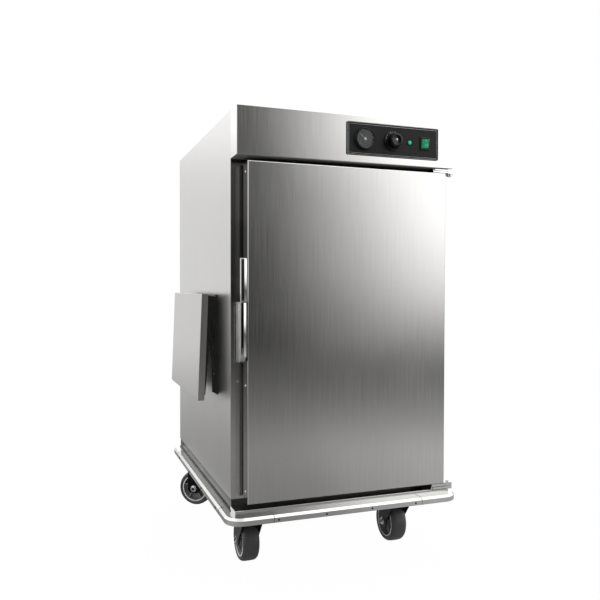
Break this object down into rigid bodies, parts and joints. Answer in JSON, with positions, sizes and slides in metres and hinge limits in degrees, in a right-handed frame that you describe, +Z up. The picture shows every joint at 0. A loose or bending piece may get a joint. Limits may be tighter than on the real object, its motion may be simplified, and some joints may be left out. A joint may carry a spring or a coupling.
{
  "type": "heated holding cabinet trolley",
  "caption": "Insulated stainless holding cabinet on swivel casters, with a hinged door, pan runners, controls across the top and a fold-down side shelf.",
  "frame": {"origin": "on the floor, under the middle of the whole object with its shelf folded down", "axes": "+Z up, the door faces -Y, the door's latch and the fold-down shelf are on the -X side, its hinges on +X"},
  "size_m": [0.7361, 0.908, 1.284],
  "materials": {
    "stainless": "satin",
    "chrome_plate": "polished",
    "zinc_plate": "satin",
    "bumper_aluminium": "satin",
    "rock_wool": "matte",
    "silicone_seal": "matte",
    "tyre_rubber": "matte",
    "wheel_nylon": "matte",
    "black_plastic": "satin",
    "knob_black": "satin",
    "lens_green": "gloss",
    "clear_glass": "polished",
    "needle_white": "matte",
    "heater_sheath": "matte",
    "fan_aluminium": "matte",
    "pedal_steel": "satin"
  },
  "bodies": {
    "cabinet": {"side_panel_left": "stainless", "side_panel_right": "stainless", "back_panel": "stainless", "top_panel": "stainless", "door_frame": "stainless", "chamber_liner": "stainless", "insulation_slabs": "rock_wool", "rack_posts": "stainless", "pan_runners": "stainless", "header_box": "stainless", "control_plate": "black_plastic", "thermometer_case": "black_plastic", "thermometer_glass": "clear_glass", "thermostat_body": "zinc_plate", "indicator_lamp": "lens_green", "switch_housing": "black_plastic", "fan_motor": "zinc_plate", "heating_element": "heater_sheath", "air_duct_cover": "stainless", "cable_gland": "knob_black", "hinge_brackets": "chrome_plate", "hinge_pins": "chrome_plate", "latch_keeper": "chrome_plate", "shelf_brackets": "stainless", "base_skirt": "stainless", "front_ledge": "stainless", "chassis_frame": "stainless", "bumper_corners": "bumper_aluminium", "bumper_rails": "bumper_aluminium", "caster_plates": "zinc_plate"},
    "door": {"door_skin": "stainless", "door_inner_panel": "stainless", "door_insulation": "rock_wool", "door_gasket": "silicone_seal", "door_edge_screws": "chrome_plate", "hinge_straps": "chrome_plate", "latch_body": "chrome_plate"},
    "latch_lever": {"latch_handle": "chrome_plate"},
    "gauge_needle": {"thermometer_needle": "needle_white"},
    "knob": {"thermostat_knob": "knob_black"},
    "rocker": {"switch_rocker": "lens_green"},
    "fan_wheel": {"fan_impeller": "fan_aluminium"},
    "shelf": {"shelf_board": "stainless", "shelf_arms": "stainless"},
    "shelf_stays": {"shelf_struts": "stainless"},
    "fork_front_left": {"caster_fork_front_left": "zinc_plate"},
    "wheel_front_left": {"wheel_hub_front_left": "wheel_nylon", "wheel_tyre_front_left": "tyre_rubber"},
    "fork_front_right": {"caster_fork_front_right": "zinc_plate"},
    "wheel_front_right": {"wheel_hub_front_right": "wheel_nylon", "wheel_tyre_front_right": "tyre_rubber"},
    "fork_back_left": {"caster_fork_back_left": "zinc_plate"},
    "wheel_back_left": {"wheel_hub_back_left": "wheel_nylon", "wheel_tyre_back_left": "tyre_rubber"},
    "fork_back_right": {"caster_fork_back_right": "zinc_plate"},
    "wheel_back_right": {"wheel_hub_back_right": "wheel_nylon", "wheel_tyre_back_right": "tyre_rubber"},
    "pedal_front_left": {"brake_pedal_front_left": "pedal_steel"},
    "pedal_front_right": {"brake_pedal_front_right": "pedal_steel"}
  },
  "joints": [
    {"name": "door_hinge", "type": "hinge", "parent": "cabinet", "child": "door", "pos_m": [0.34109, -0.41, 0.69], "axis": [0, 0, 1], "range_deg": [0, 180]},
    {"name": "latch_pull", "type": "hinge", "parent": "door", "child": "latch_lever", "pos_m": [-0.28966, -0.406, 0.7], "axis": [1, 0, 0], "range_deg": [0, 30], "stiffness_Nm_per_rad": 0.8, "springref_deg": -14.32},
    {"name": "needle_sweep", "type": "hinge", "parent": "cabinet", "child": "gauge_needle", "pos_m": [0.05809, -0.433, 1.22], "axis": [0, 1, 0], "range_deg": [-83, 187]},
    {"name": "thermostat_turn", "type": "hinge", "parent": "cabinet", "child": "knob", "pos_m": [0.14609, -0.442, 1.22], "axis": [0, 1, 0], "range_deg": [0, 300]},
    {"name": "rocker_tilt", "type": "hinge", "parent": "cabinet", "child": "rocker", "pos_m": [0.24809, -0.4285, 1.22], "axis": [-1, 0, 0], "range_deg": [0, 16]},
    {"name": "fan_spin", "type": "hinge", "parent": "cabinet", "child": "fan_wheel", "pos_m": [0.01809, 0.033, 1.12], "axis": [0, 0, 1], "continuous": true},
    {"name": "shelf_fold", "type": "hinge", "parent": "cabinet", "child": "shelf", "pos_m": [-0.32891, 0.0125, 0.772], "axis": [0, 1, 0], "range_deg": [0, 87.8]},
    {"name": "stay_swing", "type": "hinge", "parent": "shelf", "child": "shelf_stays", "pos_m": [-0.33221, 0.0125, 0.68606], "axis": [0, 1, 0], "range_deg": [-129.86, 0]},
    {"name": "swivel_front_left", "type": "hinge", "parent": "cabinet", "child": "fork_front_left", "pos_m": [-0.22191, -0.257, 0.15], "axis": [0, 0, 1], "continuous": true},
    {"name": "roll_front_left", "type": "hinge", "parent": "fork_front_left", "child": "wheel_front_left", "pos_m": [-0.22191, -0.213, 0.0625], "axis": [1, 0, 0], "continuous": true},
    {"name": "swivel_front_right", "type": "hinge", "parent": "cabinet", "child": "fork_front_right", "pos_m": [0.25809, -0.257, 0.15], "axis": [0, 0, 1], "continuous": true},
    {"name": "roll_front_right", "type": "hinge", "parent": "fork_front_right", "child": "wheel_front_right", "pos_m": [0.25809, -0.213, 0.0625], "axis": [1, 0, 0], "continuous": true},
    {"name": "swivel_back_left", "type": "hinge", "parent": "cabinet", "child": "fork_back_left", "pos_m": [-0.22191, 0.324, 0.15], "axis": [0, 0, 1], "continuous": true},
    {"name": "roll_back_left", "type": "hinge", "parent": "fork_back_left", "child": "wheel_back_left", "pos_m": [-0.25658, 0.35109, 0.0625], "axis": [0.6157, 0.788, 0], "continuous": true},
    {"name": "swivel_back_right", "type": "hinge", "parent": "cabinet", "child": "fork_back_right", "pos_m": [0.25809, 0.324, 0.15], "axis": [0, 0, 1], "continuous": true},
    {"name": "roll_back_right", "type": "hinge", "parent": "fork_back_right", "child": "wheel_back_right", "pos_m": [0.28333, 0.36004, 0.0625], "axis": [0.8192, -0.5736, 0], "continuous": true},
    {"name": "brake_front_left", "type": "hinge", "parent": "fork_front_left", "child": "pedal_front_left", "pos_m": [-0.22191, -0.237, 0.1332], "axis": [-1, 0, 0], "range_deg": [0, 12]},
    {"name": "brake_front_right", "type": "hinge", "parent": "fork_front_right", "child": "pedal_front_right", "pos_m": [0.25809, -0.237, 0.1332], "axis": [-1, 0, 0], "range_deg": [0, 12]}
  ],
  "couplings": [
    {"joint": "stay_swing", "follows": "shelf_fold", "ratio": -1.479}
  ]
}
